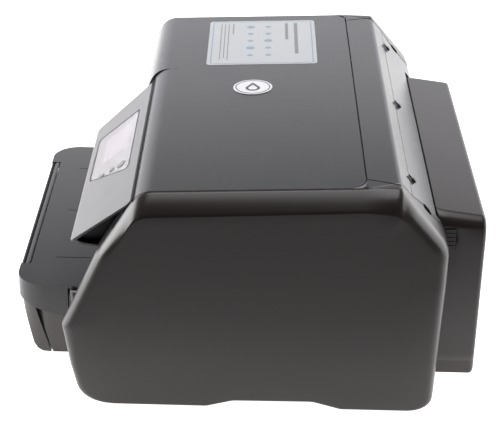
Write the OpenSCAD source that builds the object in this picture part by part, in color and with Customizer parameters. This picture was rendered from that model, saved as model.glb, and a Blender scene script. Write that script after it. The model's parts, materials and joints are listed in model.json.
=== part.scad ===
// Desktop inkjet printer with a paper cassette, an output tray on top of it, a tilting
// control panel, a lift-up top cover and a clip-on two-sided printing unit at the rear.
// Axes: x to the right seen from the front, y to the rear, z up. The origin is on the
// surface it stands on, under the middle of its outline. Millimetres.

/* [Body] */
// Width across both side covers
body_w = 494; // [490:1:500]
// Width of each side cover, from its outer face to its seam
cover_w = 20; // [18:1:22]
// Wall thickness of the moulded covers
wall = 2.5; // [2:0.25:3]
// Clearance at the seams between fixed and moving covers
seam = 0.4; // [0.3:0.1:0.6]

/* [Top cover] */
// Height of the lift-up cover's hinge axis
lid_axis_z = 203; // [202.5:0.25:203.5]
// Rear offset of the lift-up cover's hinge axis
lid_axis_y = 92; // [91.5:0.25:92.5]
// Radius of the lift-up cover's rolled rear edge about its hinge axis
lid_roll_r = 16.2; // [16:0.1:16.4]

/* [Control panel] */
// Slope of the control panel at rest, in degrees
panel_slope = 40.9; // [40:0.1:42]
// Length of the control panel down its slope
panel_len = 77.6; // [76:0.2:78]
// Thickness of the panel bezel
bezel_t = 3; // [2.6:0.2:3.4]

/* [Paper cassette] */
// Middle of the paper path
path_x = 7; // [6:0.5:8]
// Half of the cassette's width
cassette_half = 153; // [151:1:153]
// Width of the paper that the guides are set to
paper_w = 210; // [200:1:216]

/* [Output tray] */
// Half of the output tray's width
tray_half = 159.7; // [159:0.1:160]
// Height of the output tray's top
tray_z = 78; // [77.5:0.5:78]
// Front edge of the output tray
front_y = -215.5; // [-216:0.5:-215]

/* [Two-sided printing unit] */
// Rear face of the unit
rear_y = 215.5; // [215:0.5:216]
// Left end of the unit
duplex_x0 = -162; // [-163:0.5:-161]
// Right end of the unit
duplex_x1 = 190; // [189:0.5:190.5]

/* [Mechanism] */
// Radius of the carriage's guide rod
rod_r = 5; // [4:0.5:5]
// Radius of the paper feed shaft
feed_r = 4; // [3.5:0.5:4]
// Teeth on the feed gear
gear_teeth = 60; // [60]
// Teeth on the motor pinion
pinion_teeth = 15; // [15]
// Radial clearance of a shaft in its bearing
run_gap = 0.05; // [0.03:0.01:0.08]

/* [Hidden] */

$fn = 48;
side_x = body_w / 2 - cover_w;          // seam between a side cover and the middle
lid_half = side_x - seam;               // half width of the covers between the sides
plastic = "#3b3a3a";
plastic_light = "#5c5c5e";
black = "#151515";
steel = "#b9bcc0";
rubber = "#26282a";

// Corners of the rear skin from the top cover's seam down to the bottom, (y, z)
rear_corners = [[103, 215.1], [132, 215.1], [177, 162.8], [176.9, 128], [173.2, 1.5],
  [150, 1.5]];
// The same corners where a side cover's outer face begins
face_corners = [[103, 201], [137, 202.2], [176, 160], [176, 126], [170.6, 1.5], [145, 1.5]];
// Front skin of the left half, from the top cover's lower edge down, (y, z)
front_path = [[-107.3, 184.4], [-139.7, 15], [-136, 4.5]];
front_lean = 10.8;

panel_back = [-99.4, 195.1];            // rear top edge of the panel, (y, z)
panel_axis = [-98, 184.4];              // tilt axis of the panel, (y, z)
panel_roll_r = 10.8;                    // radius of the panel's rolled rear edge
tray_axis = [-158.5, 68];               // hinge axis of the output tray, (y, z)
hinge_pin_r = 3;
panel_pin_r = 2.5;
cassette_x0 = path_x - cassette_half;
cassette_x1 = path_x + cassette_half;
cassette_floor = 7;
cassette_top = 52;
cassette_rear = 125;
groove = 1.8;                           // dark joint behind the cassette's front

plate_left_x = -212;
plate_right_x = 208;
plate_t = 2;
rod_at = [48, 150];                     // carriage guide rod, (y, z)
feed_at = [34, 88];                     // paper feed shaft, (y, z)
eject_at = [-42, 84];                   // paper eject shaft, (y, z)
eject_r = 3;
star_r = 6;
pick_pivot = [52, 76];                  // pick arm's pivot, (y, z)
pick_at = [96, 70];                     // pick roller's axle, (y, z)
carriage_x0 = 118;
carriage_x1 = 200;
belt_z = 172;
belt_y = 60;
belt_w = 6;
pulley_r = 7;
pulley_left_x = -190;
pulley_right_x = 190;

function unit(v) = v / norm(v);
function left_normal(a, b) = let (d = unit(b - a)) [-d[1], d[0]];
function stepped(path, i, t) =
  let (last = len(path) - 1,
       n1 = i > 0 ? left_normal(path[i - 1], path[i]) : left_normal(path[0], path[1]),
       n2 = i < last ? left_normal(path[i], path[i + 1]) : n1,
       m = unit(n1 + n2))
  path[i] + m * t / (m * n1);
function between(a, b, t) = [for (i = [0 : len(a) - 1]) a[i] + (b[i] - a[i]) * t];
function arc(at, r, from, to, steps) =
  [for (i = [0 : steps]) let (a = from + (to - from) * i / steps)
    at + r * [cos(a), sin(a)]];
function inset(pts, t) =
  [for (i = [0 : len(pts) - 1])
    let (n = len(pts),
         n1 = left_normal(pts[(i + n - 1) % n], pts[i]),
         n2 = left_normal(pts[i], pts[(i + 1) % n]),
         m = unit(n1 + n2))
    pts[i] + m * t / (m * n1)];

// Points of a fillet of radius r at b, between its neighbours a and c
function fillet(a, b, c, r, steps = 5) =
  let (d1 = unit(a - b), d2 = unit(c - b), half = acos(d1 * d2) / 2,
       at = b + unit(d1 + d2) * r / sin(half),
       p = b + d1 * r / tan(half) - at, q = b + d2 * r / tan(half) - at,
       from = atan2(p[1], p[0]), turn = atan2(q[1], q[0]) - from,
       sweep = turn > 180 ? turn - 360 : turn < -180 ? turn + 360 : turn)
  [for (i = [0 : steps]) let (w = from + sweep * i / steps) at + r * [cos(w), sin(w)]];
function rounded_path(pts, r) = [for (i = [0 : len(pts) - 1]) let (n = len(pts))
  each fillet(pts[(i + n - 1) % n], pts[i], pts[(i + 1) % n], r)];

// The rear skin in two parts: over the top edge, and from its chamfer down to the bottom
function rear_top(c) = concat([c[0]], fillet(c[0], c[1], c[2], 7));
function rear_back(c) = concat(fillet(c[1], c[2], c[3], 24, 8), [c[3]],
  fillet(c[3], c[4], c[5], 9));
rear_split = between(rear_corners[1], rear_corners[2], 0.245);

// Bottom, rear and top of a side cover's outline, the same on both sides
function cover_rear(c, top) = let (path = concat(rear_top(c), rear_back(c)))
  concat([for (i = [len(path) - 1 : -1 : 0]) path[i]], [top]);
seam_rear = cover_rear(rear_corners, [-75, 207.3]);
face_rear = cover_rear(face_corners, [-75, 191]);
// Whole outlines, anticlockwise from the lower front: the right front juts out below the
// panel, and the left front is one steep plane
seam_right = concat([[-153, 20], [-148, 6], [-138, 1.5]], seam_rear,
  [[-88, 204.9], [-95, 201], [-99.5, 197.3], [-130.8, 149.5], [-163.8, 75.5]]);
face_right = concat([[-146.5, 20], [-138, 10.5], [-122, 3.2]], face_rear,
  [[-92, 189.4], [-102, 185.4], [-108.3, 177.2], [-127, 148], [-158.5, 80.4]]);
seam_left = concat([[-139.5, 16], [-137, 6], [-129, 1.5]], seam_rear,
  [[-90, 205.6], [-98.5, 200.8], [-104, 192.6], [-107.3, 184.4], [-118.6, 125]]);
face_left = concat([[-134, 18], [-129, 8], [-116, 3.2]], face_rear,
  [[-86, 189.6], [-95, 184.8], [-100, 176], [-103, 168], [-113.5, 120]]);

// A (y, z) outline drawn out along x
module along_x(x0, x1) {
  translate([x0, 0, 0]) rotate([90, 0, 90]) linear_extrude(x1 - x0) children();
}
// A wall of thickness t on one side of a (y, z) path
module skin(path, t) {
  polygon(concat(path, [for (i = [len(path) - 1 : -1 : 0]) stepped(path, i, t)]));
}
// A round bar along x at (y, z)
module bar_x(x0, x1, at, r) {
  translate([x0, at[0], at[1]]) rotate([0, 90, 0]) cylinder(h = x1 - x0, r = r);
}
module block(x, y, z) {
  translate([x[0], y[0], z[0]]) cube([x[1] - x[0], y[1] - y[0], z[1] - z[0]]);
}
module both_sides() {
  children();
  mirror([1, 0, 0]) children();
}
// A flat shape with rounded corners
module rounded(x, y, r) {
  union() {
    translate([x[0] + r, y[0]]) square([x[1] - x[0] - 2 * r, y[1] - y[0]]);
    translate([x[0], y[0] + r]) square([x[1] - x[0], y[1] - y[0] - 2 * r]);
    for (u = [x[0] + r, x[1] - r], v = [y[0] + r, y[1] - r]) translate([u, v]) circle(r);
  }
}
// A gear in the (y, z) plane with its first tooth at angle turn
module gear(teeth, module_size, width, bore, turn) {
  pitch_r = teeth * module_size / 2;
  root_r = pitch_r - 1.15 * module_size;
  tip_r = pitch_r + 0.85 * module_size;
  step = 360 / teeth;
  rotate([90, 0, 90]) linear_extrude(width) difference() {
    polygon([for (i = [0 : teeth - 1], p = [[root_r, -0.33], [tip_r, -0.11], [tip_r, 0.11],
        [root_r, 0.33]]) let (a = turn + (i + p[1]) * step) p[0] * [cos(a), sin(a)]]);
    circle(bore);
  }
}
module on_panel() {
  translate([0, panel_back[0], panel_back[1]]) rotate([panel_slope, 0, 0]) children();
}
// The area of the rear strip, seen from above
module strip_plan(grow) {
  linear_extrude(240) polygon([
    [-side_x + grow, 100], [side_x - grow, 100], [side_x - grow, 103], [212 - grow, 134],
    [212 - grow, 143], [200 - grow, 155], [200 - grow, 190], [-200 + grow, 190],
    [-200 + grow, 155], [-212 + grow, 143], [-212 + grow, 134], [-side_x + grow, 103]
  ]);
}

// ---- base ----
module base_frame() color(plastic) difference() {
  union() {
    block([-224, 224], [-132, 162], [3, 5.5]);
    for (x = [[-224, -221.5], [-163.5, -161], [175, 177.5], [221.5, 224]])
      block(x, [-128.5, 134], [5, 58]);
    block([-224, 224], [134, 136.5], [5, 30]);
    block([-224, 224], [-128, 40], [58, 60.5]);
    for (x = [[-224, -60], [74, 224]]) block(x, [39, 136.5], [58, 60.5]);
    for (x = [[-165.5, -163], [191, 193.5]]) block(x, [136, 162], [5, 150]);
    for (x = [path_x - 30, path_x + 27.5]) along_x(x, x + wall)
      polygon([[28, 59], [39.5, 59], [58, 72], [58, 80], [46, 80], [28, 63]]);
    bar_x(path_x - 28, path_x + 28, pick_pivot, 3);
  }
  for (x = [-205, 205], y = [-115, 148]) translate([x, y, 2]) cylinder(h = 5, r = 3);
  // Clearance below the feed gear
  block([210, 217.5], [0, 68], [50, 70]);
}
module feet() color(rubber) for (x = [-205, 205], y = [-115, 148]) translate([x, y, 0]) {
  cylinder(h = 3, r = 9);
  cylinder(h = 5.5, r = 3);
}
module output_shelf() color(plastic_light) {
  block([-158, 172], [-130.5, -52], [74, 76.5]);
  for (x = [-140 : 42 : 154]) block([x, x + wall], [-126, -54], [60.5, 74]);
}

// ---- side covers ----
module cover_slice(outline, x, t) {
  translate([x, 0, 0]) rotate([90, 0, 90]) linear_extrude(t) polygon(outline);
}
module side_cover(at_seam, at_face) difference() {
  union() {
    difference() {
      hull() {
        cover_slice(at_seam, side_x, 1);
        cover_slice(between(at_seam, at_face, 0.22), side_x + cover_w * 0.45, 1);
        cover_slice(between(at_seam, at_face, 0.6), side_x + cover_w * 0.8, 1);
        cover_slice(inset(at_face, 0.5), side_x + cover_w - 1, 1);
      }
      hull() {
        cover_slice(inset(at_seam, wall), side_x - 1, 1);
        cover_slice(inset(between(at_seam, at_face, 0.6), wall),
          side_x + cover_w * 0.7 - wall, 1);
        cover_slice(inset(at_face, wall + 2), side_x + cover_w - wall - 1, 1);
      }
    }
    // Flange that wraps over the rear, clear of the top cover's rolled edge
    difference() {
      along_x(198, side_x + 0.5)
        skin(concat(rear_top(rear_corners), rear_back(rear_corners)), -wall);
      strip_plan(0);
      block([197, 230], [90, 103.4], [190, 220]);
      bar_x(197, 230, lid_axis, lid_roll_r + seam);
      block([200.6, 206], [154.6, 162.5], [170, 200]);
    }
  }
  // Shallow arch along the bottom edge
  translate([side_x - 5, 34, -272]) rotate([0, 90, 0]) cylinder(h = cover_w + 10, r = 280);
}
module side_cover_right() color(plastic) side_cover(seam_right, face_right);
module side_cover_left() color(plastic) mirror([1, 0, 0]) side_cover(seam_left, face_left);

// ---- top cover ----
lid_axis = [lid_axis_y, lid_axis_z];
lid_back = arc(lid_axis, lid_roll_r, -20, 47, 6);
lid_top = concat(lid_back, [[60, 213.2], [0, 210.6], [-75, 207.3]]);
lid_front_right = concat(lid_top, [[-84, 206.1], [-90, 204], [-95.4, 200.4], [-98.8, 196.8]]);
lid_front_left = concat(lid_top, [[-84, 206.3], [-92, 204.5], [-99, 200.2], [-103.8, 194],
  [-106, 188], [-106.9, 185]]);
lid_step_x = -66;
module lid_ear(x) difference() {
  along_x(x, x + 4) union() {
    translate(lid_axis) circle(7);
    polygon([[86, 198], [60, 205], [60, 212], [96, 213], [98.5, 203]]);
  }
  bar_x(x - 1, x + 5, lid_axis, hinge_pin_r + run_gap);
}
module top_cover() color(plastic_light) difference() {
  union() {
    along_x(lid_step_x + seam, lid_half) skin(lid_front_right, wall);
    along_x(-lid_half, lid_step_x - seam) skin(lid_front_left, wall);
    along_x(lid_step_x - wall, lid_step_x + wall) skin(lid_front_right, wall);
    along_x(lid_step_x - wall, lid_step_x - seam)
      polygon([[-60, 206], [-75, 205], [-97, 197], [-101, 188], [-106.6, 185.4], [-106, 188],
        [-103.8, 194], [-99, 200.2], [-92, 204.5], [-84, 206.3], [-60, 207.7]]);
    for (x = [[-lid_half, -lid_half + wall], [lid_half - wall, lid_half]])
      along_x(x[0], x[1]) polygon([[96, 214], [96, 205], [60, 203], [-70, 197], [-84, 197.5],
        [-84, 206], [-75, 207], [60, 212.9]]);
    for (x = [-180, -120, 20, 90, 160]) block([x, x + 1.6], [-70, 70], [202, 208]);
    lid_ear(214);
    lid_ear(-218);
  }
  bar_x(lid_step_x + seam, lid_half + 1, panel_axis, panel_roll_r + seam);
}
module lid_hinge_pins() color(steel) both_sides() bar_x(207, 219, lid_axis, hinge_pin_r);

// ---- rear ----
module rear_strip() color(plastic_light) difference() {
  intersection() {
    along_x(-side_x, side_x) skin(concat(rear_top(rear_corners), [rear_split]), -wall);
    strip_plan(seam / 2);
  }
  bar_x(-230, 230, lid_axis, lid_roll_r + seam);
}
module rear_cover() color(plastic_light) difference() {
  intersection() {
    along_x(-212, 212)
      skin(concat([rear_split + [seam, -seam]], rear_back(rear_corners)), -wall);
    strip_plan(seam / 2);
  }
  block([duplex_x0 - 1, duplex_x1 + 1], [150, 190], [-5, 173.4]);
  for (z = [[20, 46], [64, 112]]) block([-198, -168], [160, 190], z);
}
module rear_hooks() color(black) for (x = [-166, -2, 173])
  translate([x, 145.2, 200.6]) rotate([-49, 0, 0]) {
    linear_extrude(1.4) rounded([-1.4, 1.4], [-4, 6], 1.2);
    linear_extrude(2) rounded([-3.2, 3.2], [2, 5], 1.2);
  }

// ---- front ----
power_x = -100;
power_at = [-114.6, 146];
module at_power() translate([power_x, power_at[0], power_at[1]])
  rotate([90 - front_lean, 0, 0]) children();
module front_frame() color(plastic) difference() {
  union() {
    intersection() {
      along_x(-lid_half, lid_step_x - seam) skin(front_path, wall);
      union() {
        block([-230, -62], [-150, -100], [128, 190]);
        block([-230, -158], [-150, -100], [0, 130]);
      }
    }
    along_x(-160.5, -158) polygon([[-132, 61], [-119, 128], [-72, 128], [-72, 61]]);
    block([-160.5, lid_step_x + wall], [-117, -74], [127, 129.5]);
    block([-161, 183], [-132, -129], [54.5, 60]);
    along_x(lid_step_x, lid_step_x + wall)
      polygon([[-117.5, 129], [-109, 178], [-109.5, 183.4], [-88, 172], [-74, 172], [-74, 129]]);
    along_x(180, lid_half) skin([[-130, 102], [-142, 98], [-148, 70], [-146, 20], [-141, 8],
      [-136, 5.5]], wall);
    along_x(180, 182.5) polygon([[-129, 101], [-141, 97.4], [-147, 70], [-145, 20], [-134, 8],
      [-131, 61], [-120, 99]]);
  }
  at_power() translate([0, 0, -6]) cylinder(h = 12, r = 8.3);
  at_power() translate([0, -13, -6]) cylinder(h = 12, r = 1.6);
}
module power_button() color(plastic_light) at_power() {
  translate([0, 0, -3]) cylinder(h = 4, r = 8);
  translate([0, 0, 0.8]) rotate_extrude() polygon([[0, 0], [7.4, 0], [7, 0.6], [5.2, 0.9],
    [0, 0.7]]);
}
module status_lens() color("white") at_power() translate([0, -13, -2.6])
  cylinder(h = 2.8, r = 1.6);
module inner_fascia() color(black) difference() {
  union() {
    block([-63, 224], [-76, -73.5], [104, 190]);
    for (x = [[-63, -60.5], [220, 222.5]]) along_x(x[0], x[1]) union() {
      translate(panel_axis) circle(6);
      polygon([[-98, 178.6], [-98, 190.2], [-84, 190], [-75, 190], [-75, 160]]);
    }
  }
  bar_x(-70, 230, panel_axis, panel_pin_r);
}
module panel_hinge_pins() color(steel) {
  bar_x(-63, -53.5, panel_axis, panel_pin_r);
  bar_x(213, 222.5, panel_axis, panel_pin_r);
}

// ---- control panel ----
// The panel's outline on its own slope; y runs up the slope from the rear edge
module panel_plan(shrink, r) {
  polygon(rounded_path([[-65.2 + shrink, -shrink], [-47 + shrink, shrink - panel_len],
    [203.4 - shrink, shrink - panel_len], [221.6 - shrink, -shrink]], r));
}
// The (y, z) point at s down the panel's slope and d below its top
function on_slope(s, d) = panel_back + s * [-cos(panel_slope), -sin(panel_slope)]
  + d * [sin(panel_slope), -cos(panel_slope)];
module panel_bezel() color("#8f8b8f") difference() {
  on_panel() translate([0, 0, -bezel_t]) linear_extrude(bezel_t) panel_plan(0, 6);
  on_panel() translate([0, 0, -1.2]) linear_extrude(2) window_plan(0.2);
  on_panel() translate([0, 0, -2.4]) linear_extrude(3) rounded([7, 69], [-58, -23], 1.5);
}
// Glass of the display and the touch keys, cut off diagonally at the lower right
module window_plan(grow) {
  polygon([[-9 - grow, -15 + grow], [127 + grow, -15 + grow], [131 + grow, -22],
    [96 + grow, -66 - grow], [86, -70 - grow], [-5, -70 - grow], [-9 - grow, -66]]);
}
module panel_window() color("#22242a", 0.5) on_panel() translate([0, 0, -1.1])
  linear_extrude(1) window_plan(0);
module display_screen() color("#4a4650") on_panel() translate([0, 0, -2.3])
  linear_extrude(1.1) rounded([8, 68], [-57, -24], 1);
module touch_keys() color("#9a9aa0") on_panel() translate([0, 0, -0.08])
  for (k = [[108, -27, 5], [103, -40, 3.4], [99, -53, 3.4]]) translate([k[0], k[1], 0])
    linear_extrude(0.3) circle(k[2]);
panel_wedge = [on_slope(8, bezel_t + 0.05), on_slope(76, bezel_t + 0.05), [-153, 141], [-131, 140.8],
  [-117, 167], [-108, 181]];
panel_hollow = [on_slope(14, bezel_t - 1), on_slope(73, bezel_t - 1), [-146, 143],
  [-132.2, 142.8], [-119, 167]];
module panel_back_shell() color(black) difference() {
  union() {
    intersection() {
      along_x(-64, 220) difference() {
        polygon(panel_wedge);
        polygon(panel_hollow);
      }
      on_panel() translate([0, 0, -60]) linear_extrude(70) panel_plan(1.6, 5);
    }
    for (x = [-40, 194]) intersection() {
      along_x(x, x + wall) polygon(panel_wedge);
      on_panel() translate([0, 0, -60]) linear_extrude(70) panel_plan(1.6, 5);
    }
    for (x = [-59.8, 213.6]) along_x(x, x + 6) union() {
      translate(panel_axis) circle(5.5);
      polygon([[-98, 179], [-109, 179.4], on_slope(14, bezel_t + 0.1),
        on_slope(8, bezel_t + 0.1), [-98, 189.8]]);
    }
  }
  bar_x(-70, -50, panel_axis, panel_pin_r + run_gap);
  bar_x(210, 226, panel_axis, panel_pin_r + run_gap);
}

// ---- cassette ----
module cassette_plan(front, r) {
  linear_extrude(80) union() {
    translate([cassette_x0 + r, front]) square([2 * cassette_half - 2 * r, 80]);
    translate([cassette_x0, front + r]) square([2 * cassette_half, cassette_rear - front - r]);
    for (x = [cassette_x0 + r, cassette_x1 - r]) translate([x, front + r]) circle(r);
  }
}
module cassette_front() color(plastic) difference() {
  intersection() {
    along_x(cassette_x0, cassette_x1) polygon([[-199, 53], [-212, 53], [-200.7, 10.6],
      [-197, 5.5], [-192, 2.8], [-186, 2.2], [-184.4, 2.2]]);
    cassette_plan(-212, 20);
  }
  along_x(cassette_x0 + 22, cassette_x1 - 22)
    polygon([[-190, 50.4], [-209, 50.4], [-198.2, 11.6], [-192, 5.6], [-176, 5.6]]);
}
module cassette_body() color(plastic) difference() {
  union() {
    intersection() {
      along_x(cassette_x0, cassette_x1) polygon([[-199 + groove, cassette_top],
        [-184.4 + groove, 2.2], [-150, 2.2], [-146, cassette_floor],
        [cassette_rear, cassette_floor], [cassette_rear, cassette_top]]);
      cassette_plan(-198.5, 14);
    }
    for (s = [-1, 1]) for (x = [157.5 - path_x, 168 - path_x]) tray_ear(path_x + s * x, s);
    for (s = [-1, 1]) block(
      s > 0 ? [cassette_x1 - 1, 171.5] : [2 * path_x - 171.5, cassette_x0 + 1],
      [-164.5, -152.5], [48, 58]);
  }
  block([cassette_x0 + wall, cassette_x1 - wall], [-180.5, cassette_rear - wall],
    [cassette_floor + wall, 60]);
  bar_x(-170, 180, tray_axis, hinge_pin_r);
}
// Upright that holds an end of the output tray's pivot pin
module tray_ear(x, s) {
  t = s > 0 ? [0, 2.5] : [-2.5, 0];
  along_x(x + t[0], x + t[1]) union() {
    translate(tray_axis) circle(6);
    translate([tray_axis[0] - 6, 49]) square([12, tray_axis[1] - 49]);
  }
}
module width_guide(x, s) {
  block(s > 0 ? [x, x + 3] : [x - 3, x], [-60, 20], [cassette_floor + wall + 0.3, 42]);
  block(s > 0 ? [x - 30, x + 3] : [x - 3, x + 30], [-40, 0],
    [cassette_floor + wall + 0.3, cassette_floor + wall + 2]);
}
module paper_guide_left() color(plastic_light) width_guide(path_x - paper_w / 2, -1);
module paper_guide_right() color(plastic_light) width_guide(path_x + paper_w / 2, 1);
module paper_guide_length() color(plastic_light) {
  block([path_x - 25, path_x + 25], [-179, -176], [cassette_floor + wall + 0.3, 42]);
  block([path_x - 12, path_x + 12], [-177, -140],
    [cassette_floor + wall + 0.3, cassette_floor + wall + 2]);
}

// ---- output tray ----
module tray_outline(shrink, rear) {
  r = 28 - shrink;
  x0 = path_x - tray_half + shrink;
  x1 = path_x + tray_half - shrink;
  union() {
    translate([x0 + r, front_y + shrink]) square([x1 - x0 - 2 * r, rear - front_y - shrink]);
    translate([x0, front_y + shrink + r]) square([x1 - x0, rear - front_y - shrink - r]);
    for (x = [x0 + r, x1 - r]) translate([x, front_y + shrink + r]) circle(r);
  }
}
module output_tray() color(plastic_light) difference() {
  union() {
    translate([0, 0, tray_z - wall]) linear_extrude(wall) union() {
      tray_outline(0, -150.5);
      translate([path_x - 131, -170]) square([262, 170 - 136]);
    }
    difference() {
      translate([0, 0, 40]) linear_extrude(tray_z - 40) difference() {
        tray_outline(0, -166);
        tray_outline(wall, -150);
      }
      along_x(-200, 200) polygon([[-230, 30], [-230, 60], [-212, 57.5], [-171, 45.5],
        [-150, 40], [-150, 30]]);
    }
    for (x = [path_x - 159.4, path_x + 156.2]) along_x(x, x + 3.2) union() {
      translate(tray_axis) circle(5.5);
      translate([tray_axis[0] - 5.5, tray_axis[1]]) square([11, tray_z - tray_axis[1] - 1]);
    }
  }
  // Recess of the pull-out paper stop
  block([path_x - 117, path_x + 117], [-230, -206], [tray_z - 7, tray_z + 1]);
  for (x = [path_x - 102, path_x, path_x + 103])
    block([x - 0.5, x + 0.5], [-184, -150], [tray_z - 0.8, tray_z + 1]);
  bar_x(-170, 180, tray_axis, hinge_pin_r + run_gap);
}
module tray_pivot_pins() color(steel) {
  bar_x(157.5, 171.5, tray_axis, hinge_pin_r);
  bar_x(2 * path_x - 171.5, 2 * path_x - 157.5, tray_axis, hinge_pin_r);
}
module tray_extension() color(plastic_light) {
  block([path_x - 116, path_x + 116], [front_y + 1.5, -206.6], [tray_z - 4, tray_z - 0.6]);
  block([path_x - 60, path_x + 60], [-206.6, -150], [tray_z - 5.2, tray_z - wall - 0.4]);
  block([path_x - 60, path_x + 60], [-209, -206.6], [tray_z - 5.2, tray_z - 3]);
}

// ---- two-sided printing unit ----
duplex_outline = [[170.6, 9], [214.2, 9], [rear_y, 160], [rear_y - 0.4, 164.6],
  [rear_y - 1.6, 166.9], [rear_y - 4, 167.9], [170.6, 172.4]];
module duplexer_shell(x0, x1, r, t) {
  intersection() {
    along_x(x0, x1) polygon(inset(duplex_outline, t));
    translate([0, 160, 0]) rotate([-90, 0, 0]) linear_extrude(60) union() {
      translate([x0, -160 + 3]) square([x1 - x0, 152]);
      translate([x0 + r, -176]) square([x1 - x0 - 2 * r, 170]);
      for (x = [x0 + r, x1 - r]) translate([x, r - 173 + t]) circle(r);
    }
  }
}
module duplexer_housing() color(plastic) difference() {
  duplexer_shell(duplex_x0, duplex_x1, 15, 0);
  duplexer_shell(duplex_x0 + wall, duplex_x1 - wall, 12.5, wall);
  block([duplex_x0 + 9, duplex_x1 - 9], [165, 180], [13, 163]);
  for (x = [[duplex_x0 - 1, duplex_x0 + 4], [duplex_x1 - 4, duplex_x1 + 1]])
    block(x, [latch_y - 5.5, latch_y + 5.5], [latch_z - 10.5, latch_z + 10.5]);
}
latch_y = 182.5;
latch_z = 149;
roller_upper = [190, 120];
roller_lower = [190, 45];
module duplexer_guide() color(black) difference() {
  union() {
    for (x = [-146, -100, -54, -8, 38, 84, 130, 172]) along_x(x, x + 2) difference() {
      polygon([[142, 22], [150, 16], [204, 16], [206, 22], [206, 150], [196, 160],
        [150, 160], [142, 152]]);
      translate(roller_upper) circle(9.4);
      translate(roller_lower) circle(9.4);
      translate([150, 66]) square([30, 40]);
    }
    block([-150, 178], [142, 144], [24, 148]);
    block([-150, 178], [152, 194], [158, 160]);
    for (x = [-150.5, 176]) along_x(x, x + 2.5) polygon([[142, 22], [150, 16], [204, 16],
      [206, 22], [206, 150], [196, 160], [150, 160], [142, 152]]);
  }
  bar_x(-160, 190, roller_upper, feed_r + run_gap);
  bar_x(-160, 190, roller_lower, feed_r + run_gap);
}
module duplex_roller(at) {
  bar_x(-151.5, 179.5, at, feed_r);
  for (x = [-90, 2, 94]) bar_x(x, x + 20, at, 9);
}
module duplexer_roller_upper() color(rubber) duplex_roller(roller_upper);
module duplexer_roller_lower() color(rubber) duplex_roller(roller_lower);
module duplexer_latch(s) {
  x = s > 0 ? duplex_x1 : duplex_x0;
  block(s > 0 ? [x - 6, x + 1] : [x - 1, x + 6], [latch_y - 5, latch_y + 5],
    [latch_z - 10, latch_z + 10]);
  for (z = [-7 : 4 : 5]) block(s > 0 ? [x + 0.5, x + 1.6] : [x - 1.6, x - 0.5],
    [latch_y - 4, latch_y + 4], [latch_z + z, latch_z + z + 1.4]);
}
module duplexer_latch_left() color(plastic_light) duplexer_latch(-1);
module duplexer_latch_right() color(plastic_light) duplexer_latch(1);

// ---- metal chassis ----
module chassis_outline() {
  union() {
    polygon([[-70, 60.5], [120, 60.5], [130, 80], [120, 160], [89, 182], [89, 203], [80, 203],
      [70, 186], [-20, 176], [-60, 150], [-70, 110]]);
    translate(lid_axis) circle(5.5);
  }
}
module chassis_plate(x) difference() {
  along_x(x, x + plate_t) chassis_outline();
  bar_x(x - 1, x + 4, lid_axis, hinge_pin_r);
  bar_x(x - 1, x + 4, rod_at, rod_r);
  bar_x(x - 1, x + 4, feed_at, feed_r + run_gap);
  bar_x(x - 1, x + 4, eject_at, eject_r + run_gap);
  bar_x(x - 1, x + 4, [eject_at[0], eject_at[1] + 9 + star_r + 0.4], 1.5 + run_gap);
  block([x - 1, x + 4], [70, 110], [100, 140]);
}
module chassis_plate_left() color(steel) chassis_plate(plate_left_x);
module chassis_plate_right() color(steel) difference() {
  chassis_plate(plate_right_x);
  bar_x(plate_right_x - 1, plate_right_x + 4, pinion_at(), 6);
}
module rear_rail() color(steel) difference() {
  union() {
    block([-209.5, 207.5], [68, 70], [100, 190]);
    block([-209.5, 207.5], [58, 70], [188, 190]);
    block([-209.5, 207.5], [69, 84], [100, 102]);
  }
  for (x = [-150 : 60 : 150]) block([x, x + 30], [60, 75], [112, 140]);
  for (x = [pulley_left_x, pulley_right_x]) translate([x, 50, belt_z]) rotate([-90, 0, 0])
    cylinder(h = 30, r = 2 + run_gap);
}
module guide_rod() color("#d9dbde") bar_x(-213, 211, rod_at, rod_r);
module encoder_strip() color("#cfd3d8", 0.6) block([-209.5, 207.5], [65.5, 65.8], [150, 160]);

// ---- carriage ----
module carriage() color(black) difference() {
  union() {
    block([carriage_x0, carriage_x1], [-8, 40], [106, 110]);
    block([carriage_x0, carriage_x1], [37, 40], [106, 166]);
    for (x = [carriage_x0, carriage_x1 - 3]) block([x, x + 3], [-30, 40], [106, 150]);
    block([carriage_x0, carriage_x1], [-30, -27], [106, 130]);
    block([carriage_x0, carriage_x1], [-30, -8], [106, 110]);
    for (x = [carriage_x0, carriage_x1 - 16]) along_x(x, x + 16) union() {
      translate(rod_at) circle(rod_r + 4);
      polygon([[38, 140], [38, 160], rod_at + [2, 8.5], rod_at + [2, -8.5]]);
    }
    block([150, 168], [38, 67.4], [156, 162.5]);
  }
  bar_x(carriage_x0 - 1, carriage_x1 + 1, rod_at, rod_r + run_gap);
  block([149, 169], [64.9, 66.4], [149, 161]);
  block([130, 188], [-2, 34], [100, 112]);
}
module printhead() color("#3a3f46") {
  block([130.5, 187.5], [-1.5, 33.5], [96, 110]);
  block([134, 184], [2, 30], [110, 113]);
}
module ink_cartridges() for (i = [0 : 3])
  color(["#202020", "#c8b400", "#b0206a", "#1780a8"][i])
    translate([carriage_x0 + 4.5 + i * 18.5, 0, 0]) {
      block([0, 17.4], [-26.4, 36.4], [113.4, 156]);
      block([3, 14.4], [-29, -26], [134, 150]);
    }

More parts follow.
